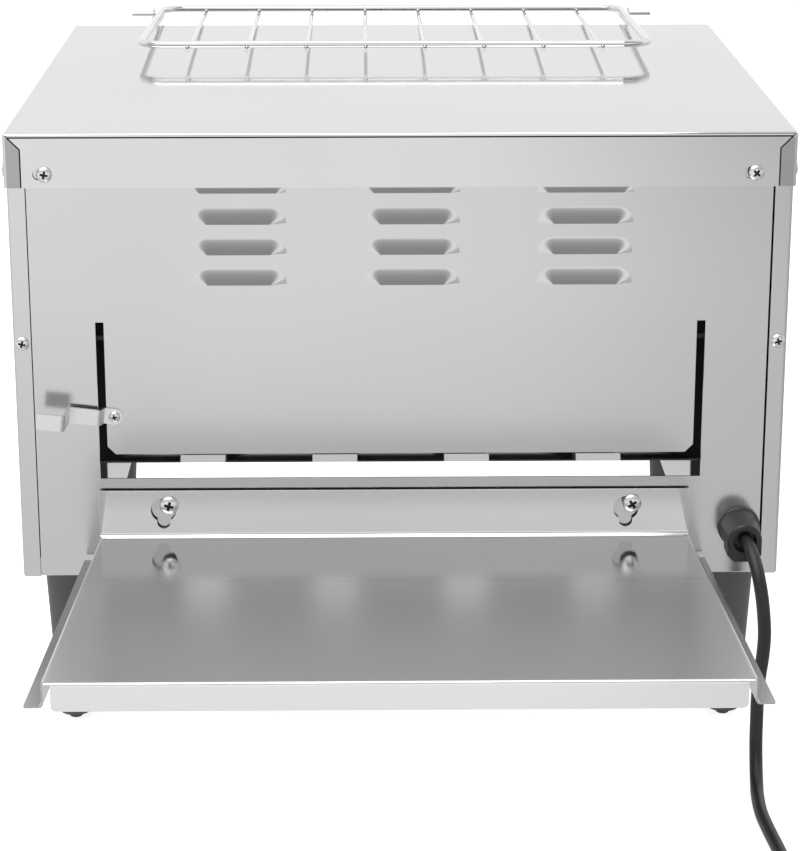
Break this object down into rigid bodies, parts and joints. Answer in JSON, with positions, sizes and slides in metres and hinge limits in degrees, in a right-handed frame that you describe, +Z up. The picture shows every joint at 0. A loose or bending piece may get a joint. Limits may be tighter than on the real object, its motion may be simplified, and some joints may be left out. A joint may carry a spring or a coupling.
{
  "type": "conveyor toaster",
  "caption": "Countertop conveyor toaster: folded steel case on tapered legs, rod belt between heating tubes, swinging rear flap, hung toast tray and fold-over bread rack.",
  "frame": {"origin": "on the table, under the middle of the machine's box without its lead", "axes": "-Y is the rear with the toast tray, +Y the feed side with the controls, +Z up"},
  "size_m": [0.4726, 0.81, 0.4021],
  "materials": {
    "steel": "satin stainless sheet",
    "bright_metal": "bright plated",
    "bronze": "sintered",
    "motor_paint": "satin black",
    "tube_glass": "frosted quartz",
    "white_insulator": "fired steatite and nylon",
    "dark_plastic": "moulded",
    "black_plastic": "moulded, fine grain",
    "foot_rubber": "moulded",
    "lamp_lens": "clear moulded",
    "cord_rubber": "smooth jacket"
  },
  "bodies": {
    "case": {"top_cover": "steel", "side_panel_left": "steel", "side_panel_right": "steel", "rear_panel": "steel", "front_panel": "steel", "inner_wall_left": "steel", "inner_wall_right": "steel", "base_plate_left": "steel", "base_plate_right": "steel", "cover_screws": "bright_metal", "panel_screws": "bright_metal", "upper_reflector": "steel", "lower_reflector": "steel", "toast_chute": "steel", "upper_heaters": "tube_glass", "lower_heaters": "tube_glass", "heater_ends": "white_insulator", "shaft_bushes": "bronze", "belt_rods": "bright_metal", "belt_links": "bright_metal", "gear_motor": "motor_paint", "deflector_rod": "bright_metal", "tray_screws": "bright_metal", "tray_nuts": "bright_metal", "selector_switch": "dark_plastic", "speed_control": "dark_plastic", "indicator_lamp": "lamp_lens", "terminal_block": "white_insulator", "leg_rear_left": "black_plastic", "leg_rear_right": "black_plastic", "leg_front_left": "black_plastic", "leg_front_right": "black_plastic", "foot_rear_left": "foot_rubber", "foot_rear_right": "foot_rubber", "foot_front_left": "foot_rubber", "foot_front_right": "foot_rubber", "leg_nuts": "bright_metal", "cord_gland": "black_plastic", "power_cord": "cord_rubber", "cord_coil": "cord_rubber", "cord_tie": "cord_rubber", "power_plug": "cord_rubber"},
    "drive": {"drive_shaft": "bright_metal", "drive_sprockets": "bright_metal"},
    "idler": {"idler_shaft": "bright_metal", "idler_sprockets": "bright_metal"},
    "deflector": {"deflector_plate": "steel", "deflector_lever": "bright_metal", "lever_screw": "bright_metal"},
    "tray": {"rear_tray": "steel"},
    "rack": {"bread_rack": "bright_metal"},
    "heat_dial": {"heat_knob": "black_plastic", "heat_spindle": "bright_metal"},
    "speed_dial": {"speed_knob": "black_plastic", "speed_spindle": "bright_metal"}
  },
  "joints": [
    {"name": "drive_spin", "type": "hinge", "parent": "case", "child": "drive", "pos_m": [0, -0.03, 0.285], "axis": [1, 0, 0], "continuous": true, "deforming": ["belt_rods"]},
    {"name": "idler_spin", "type": "hinge", "parent": "case", "child": "idler", "pos_m": [0, 0.2621, 0.285], "axis": [1, 0, 0], "continuous": true, "deforming": ["belt_rods"]},
    {"name": "deflector_swing", "type": "hinge", "parent": "case", "child": "deflector", "pos_m": [0, -0.122, 0.261], "axis": [-1, 0, 0], "range_deg": [0, 80]},
    {"name": "tray_lift", "type": "slide", "parent": "case", "child": "tray", "axis": [0, 0, 1], "range_m": [0, 0.007]},
    {"name": "rack_fold", "type": "hinge", "parent": "case", "child": "rack", "pos_m": [0, 0.348, 0.38682], "axis": [-1, 0, 0], "range_deg": [0, 150]},
    {"name": "heat_turn", "type": "hinge", "parent": "case", "child": "heat_dial", "pos_m": [0.20875, 0.29, 0.295], "axis": [0, -1, 0], "range_deg": [0, 270]},
    {"name": "speed_turn", "type": "hinge", "parent": "case", "child": "speed_dial", "pos_m": [0.20875, 0.29, 0.235], "axis": [0, -1, 0], "range_deg": [0, 280]}
  ],
  "couplings": [
    {"joint": "idler_spin", "follows": "drive_spin", "ratio": 1}
  ]
}
